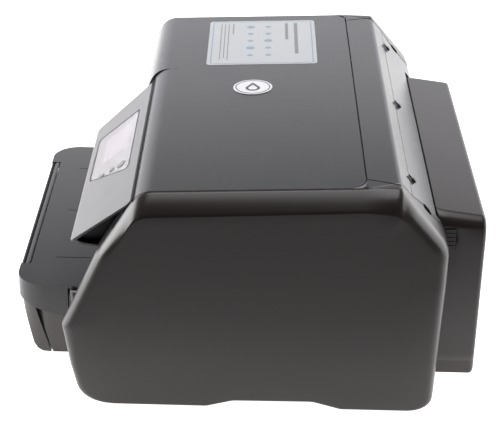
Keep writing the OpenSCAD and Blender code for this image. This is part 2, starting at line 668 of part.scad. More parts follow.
// ---- carriage drive ----
module belt_run(r, y, w) {
  translate([0, y, belt_z]) rotate([90, 0, 0]) mirror([0, 0, 1]) linear_extrude(w) union() {
    translate([pulley_left_x, -r]) square([pulley_right_x - pulley_left_x, 2 * r]);
    for (x = [pulley_left_x, pulley_right_x]) translate([x, 0]) circle(r);
  }
}
module drive_belt() color(rubber) difference() {
  belt_run(pulley_r + 1.6, belt_y, belt_w);
  belt_run(pulley_r + 0.4, belt_y - 1, belt_w + 2);
}
module pulley(x, front, back) translate([x, 0, belt_z]) rotate([-90, 0, 0]) {
  translate([0, 0, belt_y - 1.5]) cylinder(h = 1.2, r = pulley_r + 2.6);
  translate([0, 0, belt_y - 0.5]) cylinder(h = belt_w + 1, r = pulley_r);
  translate([0, 0, belt_y + belt_w + 0.3]) cylinder(h = 1, r = pulley_r + 2.6);
  translate([0, 0, front]) cylinder(h = back - front, r = 2);
}
module belt_pulley() color(steel) pulley(pulley_left_x, belt_y - 3, 72);
module idler_pulley() color(steel) pulley(pulley_right_x, belt_y - 3, 71);
module belt_motor() color("#8d9096") translate([pulley_left_x, 0, belt_z])
  rotate([-90, 0, 0]) difference() {
    union() {
      translate([0, 0, 70]) cylinder(h = 30, r = 14);
      translate([0, 0, 100]) cylinder(h = 3, r = 5);
    }
    translate([0, 0, 69]) cylinder(h = 4, r = 2 + run_gap);
  }

// ---- paper path ----
module platen() color(black) {
  block([-165, 112], [-24, 24], [80, 83]);
  for (x = [-160 : 16 : 106]) block([x, x + 1.6], [-22, 22], [82, 88]);
  for (x = [[-165, -162], [109, 112]]) block(x, [-24, 24], [60.5, 81]);
}
module feed_shaft() {
  color(steel) bar_x(-214, 216, feed_at, feed_r);
  color(rubber) for (x = [-150 : 64 : 106]) bar_x(x, x + 24, feed_at, 7.5);
}
function pinion_at() = feed_at + [0, 37.6];
module feed_gear() color("#d8d8d2") translate([211, feed_at[0], feed_at[1]])
  gear(gear_teeth, 1, 5, feed_r, 90);
module feed_pinion() color("#c9a85a") {
  translate([211, pinion_at()[0], pinion_at()[1]])
    gear(pinion_teeth, 1, 5, 1.5, 270 + 180 / pinion_teeth);
  bar_x(203.5, 216, pinion_at(), 1.5);
}
module feed_motor() color("#8d9096") difference() {
  union() {
    bar_x(203, 208, pinion_at(), 13);
    for (s = [-1, 1]) translate([203, pinion_at()[0] + s * 12, pinion_at()[1] - 4])
      cube([5, 8, 8]);
  }
  bar_x(203.2, 209, pinion_at(), 1.5 + run_gap);
}
module eject_shaft() {
  color(steel) bar_x(-214, 212, eject_at, eject_r);
  color(rubber) for (x = [-140 : 42 : 112]) bar_x(x, x + 10, eject_at, 9);
}
module star_wheels() color(steel) {
  at = eject_at + [0, 9 + star_r + 0.4];
  bar_x(-213, 211, at, 1.5);
  for (x = [-136 : 42 : 116]) translate([x, at[0], at[1]]) gear(18, star_r / 9.4, 1.2, 0.5, 0);
}
module pick_arm() color(black) difference() {
  union() {
    for (x = [path_x - 24, path_x + 21]) along_x(x, x + 3) union() {
      translate(pick_pivot) circle(7);
      translate(pick_at) circle(6);
      polygon([pick_pivot + [0, 6], pick_pivot + [0, -6], pick_at + [0, -5], pick_at + [0, 5]]);
    }
    block([path_x - 24, path_x + 24], [68, 78], [70, 76]);
  }
  bar_x(path_x - 30, path_x + 30, pick_pivot, 3 + run_gap);
  bar_x(path_x - 30, path_x + 30, pick_at, 3 + run_gap);
}
module pick_roller() {
  color(steel) bar_x(path_x - 26, path_x + 26, pick_at, 3);
  color(rubber) bar_x(path_x - 18, path_x + 18, pick_at, 12);
}
module service_station() color("#4a4d50") difference() {
  union() {
    block([122, 198], [-26, 25], [60.5, 90]);
    block([130, 188], [-3, 23], [90, 93]);
  }
  block([125, 195], [-23, -8], [64, 91]);
  block([134, 184], [1, 19], [88, 94]);
}

// ---- electrics ----
module power_supply() color("#2b2b2e") difference() {
  block([-219, -168], [20, 130], [7, 54]);
  for (y = [30 : 8 : 118]) block([-216, -171], [y, y + 4], [50, 56]);
}
module main_board() color("#1f5a3a") {
  block([216.5, 218.1], [-70, 110], [64, 150]);
  for (p = [[-50, 80], [-10, 100], [40, 76], [70, 120]])
    block([218.1, 219.6], [p[0], p[0] + 22], [p[1], p[1] + 18]);
}
module rear_ports() color(black) difference() {
  block([-198, -168], [158, 171.4], [64, 112]);
  block([-190, -177.5], [160, 175], [70, 81.5]);
  block([-191.5, -175.5], [160, 175], [90, 104]);
}
module power_inlet() color(black) difference() {
  block([-198, -168], [146, 171.6], [20, 46]);
  block([-193.5, -172.5], [151, 175], [26, 40]);
}

base_frame();
feet();
side_cover_right();
side_cover_left();
top_cover();
lid_hinge_pins();
rear_strip();
rear_cover();
rear_hooks();
front_frame();
output_shelf();
inner_fascia();
panel_hinge_pins();
panel_bezel();
panel_back_shell();
panel_window();
display_screen();
touch_keys();
power_button();
status_lens();
cassette_body();
cassette_front();
paper_guide_left();
paper_guide_right();
paper_guide_length();
output_tray();
tray_pivot_pins();
tray_extension();
duplexer_housing();
duplexer_guide();
duplexer_roller_upper();
duplexer_roller_lower();
duplexer_latch_left();
duplexer_latch_right();
chassis_plate_left();
chassis_plate_right();
rear_rail();
guide_rod();
encoder_strip();
carriage();
printhead();
ink_cartridges();
drive_belt();
belt_motor();
belt_pulley();
idler_pulley();
platen();
feed_shaft();
feed_gear();
feed_motor();
feed_pinion();
eject_shaft();
star_wheels();
pick_arm();
pick_roller();
service_station();
power_supply();
main_board();
rear_ports();
power_inlet();
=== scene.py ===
"""Looks of the desktop inkjet printer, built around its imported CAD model.

Lengths in this file are millimetres unless a name ends in _m, and they are
scaled to metres where a mesh, light or camera is made.
"""

import json
import math

import bmesh
import bpy
from mathutils import Matrix, Vector


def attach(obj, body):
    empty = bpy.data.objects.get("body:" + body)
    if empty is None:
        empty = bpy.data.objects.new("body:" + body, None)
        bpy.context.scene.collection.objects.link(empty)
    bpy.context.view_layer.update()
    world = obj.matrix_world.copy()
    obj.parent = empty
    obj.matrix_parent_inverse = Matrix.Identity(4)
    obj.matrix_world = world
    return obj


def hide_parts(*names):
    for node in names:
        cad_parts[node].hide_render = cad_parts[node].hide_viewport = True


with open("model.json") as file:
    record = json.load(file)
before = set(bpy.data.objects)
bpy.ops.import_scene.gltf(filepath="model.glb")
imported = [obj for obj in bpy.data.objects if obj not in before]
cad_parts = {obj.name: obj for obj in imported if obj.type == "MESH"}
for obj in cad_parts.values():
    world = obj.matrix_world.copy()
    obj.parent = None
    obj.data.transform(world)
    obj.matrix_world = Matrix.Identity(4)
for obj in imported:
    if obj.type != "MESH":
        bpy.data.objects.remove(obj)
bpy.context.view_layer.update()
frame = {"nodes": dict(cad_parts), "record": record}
MM = 0.001
nodes = frame["nodes"]


# ---- camera, floor and light ----
CAMERA_AT_M = (1.4175, 0.0023, 0.777)
CAMERA_PITCH = 26.36
CAMERA_ROLL = 1.49
LENS = 110.57
GLOW = 1.15
GLOW_FADE_X_M = (0.25, 0.46)
FLOOR_HALF_M = 9


def add_camera():
    """The camera looks along -X, down at the printer's right side."""
    pitch, roll = math.radians(CAMERA_PITCH), math.radians(CAMERA_ROLL)
    forward = Vector((-math.cos(pitch), 0, -math.sin(pitch)))
    level = forward.cross(Vector((0, 0, 1))).normalized()
    upright = level.cross(forward)
    right = level * math.cos(roll) + upright * math.sin(roll)
    up = upright * math.cos(roll) - level * math.sin(roll)
    data = bpy.data.cameras.new("camera")
    data.lens = LENS
    data.sensor_width = 36
    data.clip_end = 50
    camera = bpy.data.objects.new("camera", data)
    bpy.context.scene.collection.objects.link(camera)
    turn = Matrix((right, up, -forward)).transposed().to_4x4()
    camera.matrix_world = Matrix.Translation(CAMERA_AT_M) @ turn
    bpy.context.scene.camera = camera


def add_floor():
    """A pale floor with its own glow, which fades out in front of the near side."""
    mesh = bpy.data.meshes.new("floor")
    half = FLOOR_HALF_M
    corners = [(-half, -half, 0), (half, -half, 0), (half, half, 0), (-half, half, 0)]
    mesh.from_pydata(corners, [], [(0, 1, 2, 3)])
    floor = bpy.data.objects.new("floor", mesh)
    bpy.context.scene.collection.objects.link(floor)
    paint, tree, shader = new_material("floor")
    shader.inputs["Base Color"].default_value = (0.93, 0.93, 0.93, 1)
    shader.inputs["Roughness"].default_value = 0.9
    shader.inputs["Specular IOR Level"].default_value = 0.1
    shader.inputs["Emission Color"].default_value = (1, 1, 1, 1)
    coords = tree.nodes.new("ShaderNodeTexCoord")
    split = tree.nodes.new("ShaderNodeSeparateXYZ")
    fade = tree.nodes.new("ShaderNodeMapRange")
    fade.interpolation_type = "SMOOTHSTEP"
    fade.inputs["From Min"].default_value = GLOW_FADE_X_M[0]
    fade.inputs["From Max"].default_value = GLOW_FADE_X_M[1]
    fade.inputs["To Min"].default_value = GLOW
    fade.inputs["To Max"].default_value = 0.0
    tree.links.new(coords.outputs["Object"], split.inputs["Vector"])
    tree.links.new(split.outputs["X"], fade.inputs["Value"])
    tree.links.new(fade.outputs["Result"], shader.inputs["Emission Strength"])
    mesh.materials.append(paint)


def add_light(name, at, aim, size, power, colour=(1, 1, 1)):
    """A soft rectangular light that the camera doesn't see. at, aim and size are in metres."""
    data = bpy.data.lights.new(name, "AREA")
    data.shape = "RECTANGLE"
    data.size, data.size_y = size
    data.energy = power
    data.color = colour
    lamp = bpy.data.objects.new(name, data)
    bpy.context.scene.collection.objects.link(lamp)
    at = Vector(at)
    lamp.matrix_world = Matrix.Translation(at) @ (
        (Vector(aim) - at).to_track_quat("-Z", "Y").to_matrix().to_4x4()
    )
    lamp.visible_camera = False


def add_light_set():
    """A wide low panel behind the printer, panels left and right of it, and one above."""
    add_light("light_behind", (-2.6, 0, 0.72), (0, 0, 0.15), (5.6, 1.3), 37,
              (0.955, 0.95, 1))
    add_light("light_front", (-0.85, -2.2, 0.65), (-0.1, 0, 0.1), (1.9, 1.3), 52)
    add_light("light_rear", (-0.6, 2.2, 0.65), (0, 0, 0.1), (3.0, 1.3), 40)
    add_light("light_top", (-0.5, 0, 2.2), (-0.1, 0, 0), (1.8, 1.8), 34)
    world = bpy.data.worlds.new("room")
    world.use_nodes = True
    background = world.node_tree.nodes["Background"]
    background.inputs["Color"].default_value = (0.95, 0.97, 1, 1)
    background.inputs["Strength"].default_value = 0.04
    scene = bpy.context.scene
    scene.world = world
    scene.view_settings.view_transform = "Standard"


# ---- materials ----
def new_material(name):
    paint = bpy.data.materials.new(name)
    paint.use_nodes = True
    tree = paint.node_tree
    return paint, tree, tree.nodes["Principled BSDF"]


def add_noise(tree, scale, detail, stretch=None):
    """Noise in object space; scale is in features per metre."""
    coords = tree.nodes.new("ShaderNodeTexCoord")
    noise = tree.nodes.new("ShaderNodeTexNoise")
    noise.inputs["Scale"].default_value = scale
    noise.inputs["Detail"].default_value = detail
    source = coords.outputs["Object"]
    if stretch:
        mapping = tree.nodes.new("ShaderNodeMapping")
        mapping.inputs["Scale"].default_value = stretch
        tree.links.new(source, mapping.inputs["Vector"])
        source = mapping.outputs["Vector"]
    tree.links.new(source, noise.inputs["Vector"])
    return noise.outputs["Fac"]


def remap(tree, value, low, high):
    """Spreads the middle of a noise from low to high."""
    node = tree.nodes.new("ShaderNodeMapRange")
    node.clamp = False
    node.inputs["From Min"].default_value = 0.3
    node.inputs["From Max"].default_value = 0.7
    node.inputs["To Min"].default_value = low
    node.inputs["To Max"].default_value = high
    tree.links.new(value, node.inputs["Value"])
    return node.outputs["Result"]


def tint(tree, value, dark, light):
    """A colour between dark and light that follows a noise."""
    ramp = tree.nodes.new("ShaderNodeValToRGB")
    ramp.color_ramp.interpolation = "EASE"
    ramp.color_ramp.elements[0].position = 0.2
    ramp.color_ramp.elements[0].color = (*dark, 1)
    ramp.color_ramp.elements[1].position = 0.8
    ramp.color_ramp.elements[1].color = (*light, 1)
    tree.links.new(value, ramp.inputs["Fac"])
    return ramp.outputs["Color"]


def add_bump(tree, shader, height, depth, strength):
    bump = tree.nodes.new("ShaderNodeBump")
    bump.inputs["Strength"].default_value = strength
    bump.inputs["Distance"].default_value = depth
    tree.links.new(height, bump.inputs["Height"])
    tree.links.new(bump.outputs["Normal"], shader.inputs["Normal"])


GRAIN_SCALE = 1400
GRAIN_DEPTH_M = 0.00005
GRAIN_STRENGTH = 0.12
METAL_STRETCH = (1, 60, 60)


def plastic(name, colour, rough, vary=0.08):
    """Moulded plastic with a fine spark-eroded grain and slow colour drift."""
    paint, tree, shader = new_material(name)
    drift = add_noise(tree, 9, 2)
    dark = [c * (1 - vary) for c in colour]
    light = [c * (1 + vary) for c in colour]
    tree.links.new(tint(tree, drift, dark, light), shader.inputs["Base Color"])
    patches = add_noise(tree, 14, 1)
    tree.links.new(
        remap(tree, patches, rough - 0.01, rough + 0.01), shader.inputs["Roughness"]
    )
    grain = add_noise(tree, GRAIN_SCALE, 2)
    add_bump(tree, shader, grain, GRAIN_DEPTH_M, GRAIN_STRENGTH)
    return paint


def gloss(name, colour, rough, coat):
    """Polished plastic with faint handling haze."""
    paint, tree, shader = new_material(name)
    haze = add_noise(tree, 30, 5)
    shader.inputs["Base Color"].default_value = (*colour, 1)
    tree.links.new(remap(tree, haze, rough, rough + 0.05), shader.inputs["Roughness"])
    shader.inputs["Coat Weight"].default_value = coat
    shader.inputs["Coat Roughness"].default_value = rough / 2
    return paint


def metal(name, colour, rough=0.3):
    """Rolled or drawn metal with fine lines along one direction."""
    paint, tree, shader = new_material(name)
    lines = add_noise(tree, 22, 4, METAL_STRETCH)
    dark = [c * 0.85 for c in colour]
    tree.links.new(tint(tree, lines, dark, colour), shader.inputs["Base Color"])
    shader.inputs["Metallic"].default_value = 1
    tree.links.new(
        remap(tree, lines, rough - 0.06, rough + 0.08), shader.inputs["Roughness"]
    )
    add_bump(tree, shader, lines, 0.00002, 0.3)
    return paint


def rubber_material():
    """Matt dark rubber with a fine rough skin."""
    paint, tree, shader = new_material("rubber")
    fine = add_noise(tree, 700, 4)
    tree.links.new(
        tint(tree, fine, (0.012, 0.012, 0.013), (0.028, 0.028, 0.03)),
        shader.inputs["Base Color"],
    )
    shader.inputs["Roughness"].default_value = 0.72
    add_bump(tree, shader, fine, 0.00008, 0.5)
    return paint


def board_material():
    """Green circuit board with faint raised tracks."""
    paint, tree, shader = new_material("circuit_board")
    tracks = add_noise(tree, 160, 1, (1, 1, 0.15))
    tree.links.new(
        tint(tree, tracks, (0.004, 0.05, 0.025), (0.012, 0.11, 0.05)),
        shader.inputs["Base Color"],
    )
    shader.inputs["Roughness"].default_value = 0.35
    add_bump(tree, shader, tracks, 0.00003, 0.4)
    return paint


def glass_material():
    """Clear, faintly grey-pink glass over the display and the touch keys."""
    paint, tree, shader = new_material("panel_glass")
    shader.inputs["Base Color"].default_value = (0.90, 0.86, 0.89, 1)
    shader.inputs["Transmission Weight"].default_value = 0.92
    shader.inputs["IOR"].default_value = 1.3
    haze = add_noise(tree, 40, 4)
    tree.links.new(remap(tree, haze, 0.10, 0.14), shader.inputs["Roughness"])
    return paint


def painted_shade_material():
    """Painted shade: near black without any shine, for narrow gaps and slots that let no light
    out.
    """
    paint, tree, shader = new_material("painted_shade_black")
    fine = add_noise(tree, 500, 2)
    tree.links.new(
        tint(tree, fine, (0.001, 0.001, 0.001), (0.003, 0.003, 0.003)),
        shader.inputs["Base Color"],
    )
    shader.inputs["Roughness"].default_value = 0.9
    shader.inputs["Specular IOR Level"].default_value = 0.02
    return paint


def label_material():
    """Coated paper with a very faint mottle."""
    paint, tree, shader = new_material("label_paper")
    mottle = add_noise(tree, 260, 3)
    tree.links.new(
        tint(tree, mottle, (0.52, 0.535, 0.555), (0.56, 0.57, 0.585)),
        shader.inputs["Base Color"],
    )
    shader.inputs["Roughness"].default_value = 0.32
    add_bump(tree, shader, mottle, 0.00002, 0.2)
    return paint


PAINT = {
    "cover_plastic": plastic("cover_plastic", (0.031, 0.0243, 0.0222), 0.31, vary=0.04),
    "lid_plastic": plastic("lid_plastic", (0.030, 0.0305, 0.033), 0.27, vary=0.03),
    "dark_plastic": plastic("dark_plastic", (0.014, 0.014, 0.0135), 0.46),
    "grey_plastic": plastic("grey_plastic", (0.10, 0.10, 0.105), 0.42),
    "panel_gloss": gloss("panel_gloss", (0.070, 0.064, 0.070), 0.2, 0.0),
    "panel_glass": glass_material(),
    "screen": gloss("screen", (0.46, 0.385, 0.43), 0.3, 0),
    "key_print": gloss("key_print", (0.045, 0.045, 0.05), 0.25, 0.2),
    "steel": metal("steel", (0.55, 0.56, 0.58)),
    "rubber": rubber_material(),
    "clear_film": gloss("clear_film", (0.45, 0.47, 0.5), 0.15, 0.2),
    "gear_plastic": plastic("gear_plastic", (0.66, 0.65, 0.60), 0.45),
    "brass": metal("brass", (0.72, 0.50, 0.20), 0.25),
    "head": plastic("head", (0.05, 0.06, 0.08), 0.4),
    "ink_tank": gloss("ink_tank", (0.03, 0.03, 0.034), 0.2, 0.3),
    "circuit_board": board_material(),
}
# Painted light: the paper cassette is the covers' plastic, painted more than twice as light and
# warmer to stand in for the light falling on it from the front left.
CASSETTE_PLASTIC_PAINTED_LIGHT = plastic("cassette_plastic_painted_light", (0.070, 0.060, 0.0575), 0.34, vary=0.04)
NODE_PAINT = {"cassette_front": CASSETTE_PLASTIC_PAINTED_LIGHT, "cassette_body": CASSETTE_PLASTIC_PAINTED_LIGHT}
PAINTED_SHADE_BLACK = painted_shade_material()
LABEL_PAPER = label_material()
LABEL_BLUE = gloss("label_blue", (0.27, 0.36, 0.47), 0.35, 0.0)
LABEL_GREY = gloss("label_grey", (0.23, 0.235, 0.25), 0.35, 0.0)
BADGE_WHITE = gloss("badge_white", (0.80, 0.79, 0.82), 0.18, 0.4)
CLIP_PLASTIC = plastic("clip_plastic", (0.34, 0.34, 0.36), 0.3)


# Edge rounding of the CAD nodes that show, where it isn't the usual one
USUAL_EDGE = 0.5
NODE_EDGES = {"output_tray": 0.8, "cassette_front": 1.0,
              "panel_back_shell": 0.8, "front_frame": 0.9, "rear_strip": 0.3,
              "rear_cover": 0.3, "panel_window": 0.2, "display_screen": 0.2,
              "touch_keys": 0.1}


def dress_cad_nodes():
    """Gives every CAD node its slot's material, soft edges and smooth shading."""
    slots = {s["node"]: s["material_slot"] for s in frame["record"]["subparts"]}
    for name, node in nodes.items():
        node.data.materials.clear()
        node.data.materials.append(NODE_PAINT.get(name, PAINT[slots[name]]))
        for polygon in node.data.polygons:
            polygon.use_smooth = True
        finish_edges(node, NODE_EDGES.get(name, USUAL_EDGE), 3 if name in NODE_EDGES else 2)


def finish_edges(piece, width, segments, angle=34, weighting="FACE_AREA"):
    """Rounds the sharp edges a little and sets how faces share their shading."""
    if width:
        bevel = piece.modifiers.new("edge_round", "BEVEL")
        bevel.width = width * MM
        bevel.segments = segments
        bevel.limit_method = "ANGLE"
        bevel.angle_limit = math.radians(angle)
        bevel.use_clamp_overlap = True
    normals = piece.modifiers.new("flat_faces", "WEIGHTED_NORMAL")
    normals.mode = weighting
    normals.keep_sharp = False


# ---- mesh tools ----
def fillet(a, b, c, r, steps):
    """Points of an arc of radius r that rounds corner b between a and c."""
    a, b, c = Vector(a), Vector(b), Vector(c)
    to_a, to_c = (a - b).normalized(), (c - b).normalized()
    if r <= 0:
        return [b.copy() for _ in range(steps + 1)]
    half = to_a.angle(to_c) / 2
    reach = r / math.tan(half)
    centre = b + (to_a + to_c).normalized() * (r / math.sin(half))
    start = b + to_a * reach - centre
    end = b + to_c * reach - centre
    first = math.atan2(start.y, start.x)
    sweep = math.atan2(end.y, end.x) - first
    sweep = (sweep + math.pi) % (2 * math.pi) - math.pi
    angles = [first + sweep * i / steps for i in range(steps + 1)]
    return [centre + r * Vector((math.cos(a), math.sin(a))) for a in angles]


def round_path(points, steps=6, closed=False):
    """A 2-D path through (u, v, radius) corners."""
    flat = [p[:2] for p in points]
    path = []
    last = len(points) - 1
    for i, (u, v, r) in enumerate(points):
        if not closed and i in (0, last):
            path.append(Vector((u, v)))
        elif r <= 0:
            path.append(Vector((u, v)))
        else:
            path += fillet(flat[i - 1], flat[i], flat[(i + 1) % len(flat)], r, steps)
    return path


def make_piece(name, verts, faces, body, slot, stands_for=(), out=None, shell=0,
               edge=0.5, segments=2, angle=34, paint=None, weighting="FACE_AREA"):
    """A mesh piece that rides on a CAD body. verts are in millimetres."""
    mesh = bpy.data.meshes.new(name)
    mesh.from_pydata([tuple(Vector(v) * MM) for v in verts], [], faces)
    work = bmesh.new()
    work.from_mesh(mesh)
    bmesh.ops.remove_doubles(work, verts=work.verts, dist=2e-6)
    bmesh.ops.dissolve_degenerate(work, dist=1e-6, edges=work.edges)
    bmesh.ops.recalc_face_normals(work, faces=work.faces)
    if out is not None:
        facing = sum((f.normal * f.calc_area() for f in work.faces), Vector())
        if facing.dot(Vector(out)) < 0:
            bmesh.ops.reverse_faces(work, faces=work.faces)
    for face in work.faces:
        face.smooth = True
    work.to_mesh(mesh)
    work.free()
    piece = bpy.data.objects.new(name, mesh)
    bpy.context.scene.collection.objects.link(piece)
    mesh.materials.append(paint or PAINT[slot])
    if shell:
        solid = piece.modifiers.new("wall", "SOLIDIFY")
        solid.thickness = shell * MM
        solid.offset = -1
        solid.use_even_offset = False
    finish_edges(piece, edge, segments, angle, weighting)
    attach(piece, body)
    if stands_for:
        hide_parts(*stands_for)
    return piece


def grid_faces(rows, columns, first=0, closed=False):
    """Quads over a grid of rows by columns stored row by row."""
    faces = []
    for r in range(rows - 1):
        for c in range(columns if closed else columns - 1):
            a = first + r * columns + c
            b = first + r * columns + (c + 1) % columns
            faces.append((a, b, b + columns, a + columns))
    return faces


def extrude_plate(outline, low, high, place):
    """Verts and faces of an outline between two heights; place maps (u, v, w) to space."""
    n = len(outline)
    verts = [place(u, v, w) for w in (low, high) for u, v in outline]
    faces = [tuple(reversed(range(n))), tuple(range(n, 2 * n))]
    faces += [(i, (i + 1) % n, n + (i + 1) % n, n + i) for i in range(n)]
    return verts, faces


def rectangle(u0, u1, v0, v1, r, steps=6):
    return round_path([(u0, v0, r), (u1, v0, r), (u1, v1, r), (u0, v1, r)], steps, True)


# ---- side covers ----
SEAM_X = 227.0
FACE_X = 247.0
# Corners of the cover's outline, front bottom first: at the seam (y, z, radius), at the
# outer face (y, z, radius), how round the cover is there, how far the face dips at its
# edge, and how far in the dip reaches
COVER_REAR = [
    ((-33, 1.5, 16), (-33, 1.2, 16), 0.5, 1.6, 24),
    ((-10, 8, 26), (-9, 7.6, 26), 0.5, 1.6, 22),
    ((64, 8.6, 26), (63, 8.4, 26), 0.5, 1.6, 22),
    ((90, 1.5, 16), (89, 1.2, 16), 0.5, 1.6, 24),
    ((173.2, 1.5, 9), (163, 1.2, 14), 0.9, 1.8, 24),
    ((176.9, 128, 90), (165, 122, 90), 0.95, 1.4, 24),
    ((177, 162.8, 24), (164, 153, 34), 0.95, 2.2, 34),
    ((143.1, 202.2, 0), (137.5, 188.5, 0), 0.8, 2.0, 30),
    ((132, 215.1, 7), (130, 198.5, 12), 0.45, 1.2, 20),
    ((103, 215.13, 0), (103, 201, 0), 0.14, 0.5, 12),
]
COVER_RIGHT = [
    ((-149, 1.5, 18), (-139, 1.2, 28), 0.9, 1.6, 26),
    *COVER_REAR,
    ((-93.4, 206.5, 22.5), (-95.5, 190.4, 20), 0.2, 0.6, 12),
    ((-130.8, 149.5, 70), (-119.5, 149.6, 70), 0.9, 1.0, 20),
    ((-163.8, 75.5, 5), (-150, 82, 16), 0.95, 1.4, 24),
    ((-157.3, 38, 60), (-147, 38, 60), 0.95, 1.6, 26),
]
COVER_LEFT = [
    ((-142.1, 1.5, 16), (-136, 1.2, 24), 0.8, 1.5, 22),
    *COVER_REAR,
    ((-103.1, 206.06, 28), (-98.5, 190.5, 26), 0.3, 0.5, 12),
]
ARC_STEPS = 8
STRAIGHT_STEP = 6.0
BEND_STEPS = 9
FACE_ROWS = (0.06, 0.25, 0.5, 0.75, 1.0)
FACE_HUB = (10, 105)
WRAP_STEPS = 4
WRAP_LOWEST_Z = 3
CORNER_STEPS = 6
CORNER_SINK = 0.03
SIDE_WALL = 2.2
LID_REAR_Y = 103.0
STRIP_EDGE = [(103, 227), (134, 212), (143.1, 212), (155, 200), (400, 200)]


def strip_edge_x(y):
    """Half width of the rear strip and rear cover at depth y."""
    for (y0, x0), (y1, x1) in zip(STRIP_EDGE, STRIP_EDGE[1:]):
        if y <= y1:
            return x0 + (x1 - x0) * max(0, y - y0) / (y1 - y0)
    return STRIP_EDGE[-1][1]


def cover_rings(corners):
    """Matched points of the seam and face outlines, with their three shape values."""
    count = len(corners)
    rows = []
    arcs = []
    for i in range(count):
        before, here, after = corners[i - 1], corners[i], corners[(i + 1) % count]
        arcs.append([
            fillet(before[k][:2], here[k][:2], after[k][:2], here[k][2], ARC_STEPS)
            for k in (0, 1)
        ])
    for i in range(count):
        here, after = corners[i], corners[(i + 1) % count]
        seam, face = arcs[i]
        for s, f in zip(seam, face):
            rows.append((s, f, *here[2:]))
        next_seam, next_face = arcs[(i + 1) % count]
        gap = (next_seam[0] - seam[-1]).length
        steps = max(1, round(gap / STRAIGHT_STEP))
        for k in range(1, steps):
            t = k / steps
            mixed = [a + (b - a) * t for a, b in zip(here[2:], after[2:])]
            on_seam = seam[-1].lerp(next_seam[0], t)
            on_face = face[-1].lerp(next_face[0], t)
            rows.append((on_seam, on_face, *mixed))
    return rows


def add_side_cover(name, side, corners, stands_for):
    """A shell that bends from the seam to the outer face; side is 1 at +X and -1 at -X."""
    rows = cover_rings(corners)
    count = len(rows)
    centre = Vector(FACE_HUB)
    verts = []
    for j in range(BEND_STEPS + 1):
        t = j / BEND_STEPS
        for seam, face, roundness, dip, _ in rows:
            start = Vector((SEAM_X, *seam))
            end = Vector((FACE_X - dip, *face))
            corner = Vector((FACE_X - dip, *seam))
            knee = (start + end) / 2 * (1 - roundness) + corner * roundness
            p = start * (1 - t) ** 2 + knee * 2 * t * (1 - t) + end * t**2
            verts.append((side * p.x, p.y, p.z))
    for u in FACE_ROWS:
        for _, face, _, dip, reach in rows:
            inward = (centre - face).normalized() * reach * u
            p = face + inward
            verts.append((side * (FACE_X - dip * (1 - u) ** 2), p.x, p.y))
    ring_count = BEND_STEPS + 1 + len(FACE_ROWS)
    faces = grid_faces(ring_count, count, closed=True)
    hub = len(verts)
    verts.append((side * FACE_X, centre.x, centre.y))
    last = (ring_count - 1) * count
    faces += [(last + i, last + (i + 1) % count, hub) for i in range(count)]
    # Flange that wraps over the rear corner, from the lid's seam to the bottom
    seams = [row[0] for row in rows]
    wrap = [p for p in seams if p.x >= LID_REAR_Y - 0.01 and p.y > WRAP_LOWEST_Z]
    first = len(verts)
    for seam in wrap:
        edge = strip_edge_x(seam.x) + 0.1
        for k in range(WRAP_STEPS + 1):
            x = SEAM_X + (edge - SEAM_X) * k / WRAP_STEPS
            verts.append((side * x, seam.x, seam.y))
    faces += grid_faces(len(wrap), WRAP_STEPS + 1, first)
    # Corner outside the lid's rounded rear corner
    first = len(verts)
    sunk_x, sunk_y = SEAM_X - CORNER_SINK, LID_REAR_Y - CORNER_SINK
    verts.append((side * sunk_x, sunk_y, lid_top_z(LID_REAR_Y)))
    for k in range(CORNER_STEPS + 1):
        a = math.pi / 2 * k / CORNER_STEPS
        x = SEAM_X - LID_CORNER + LID_CORNER * math.cos(a)
        y = LID_REAR_Y - LID_CORNER + LID_CORNER * math.sin(a)
        verts.append((side * (x - CORNER_SINK), y - CORNER_SINK, lid_top_z(y)))
    faces += [(first, first + k, first + k + 1) for k in range(1, CORNER_STEPS + 1)]
    return make_piece(name, verts, faces, "chassis", "cover_plastic", (stands_for,),
                      out=(side, 0, 0.2), shell=SIDE_WALL, edge=0, weighting="CORNER_ANGLE")


# ---- top cover ----
LID_HALF = 226.6
LID_CORNER = 17.0
LID_STEP_X = -66.0
LID_FRONT_Y = -76
LID_Z_AT_MIDDLE = 210.6
LID_SLOPE = 0.044
LID_AXIS = (92, 203)
LID_WALL = 2.4
LID_ROW_PLACES = (0, 0.04, 0.2, 0.4, 0.6, 0.8, 1)
LIP_R = 15.9
LIP_START, LIP_SWEEP, LIP_STEPS = 47.4, 67.4, 6
KNUCKLE_R = 7


def lid_top_z(y):
    """Height of the top cover's gently sloping top."""
    return LID_Z_AT_MIDDLE + LID_SLOPE * y


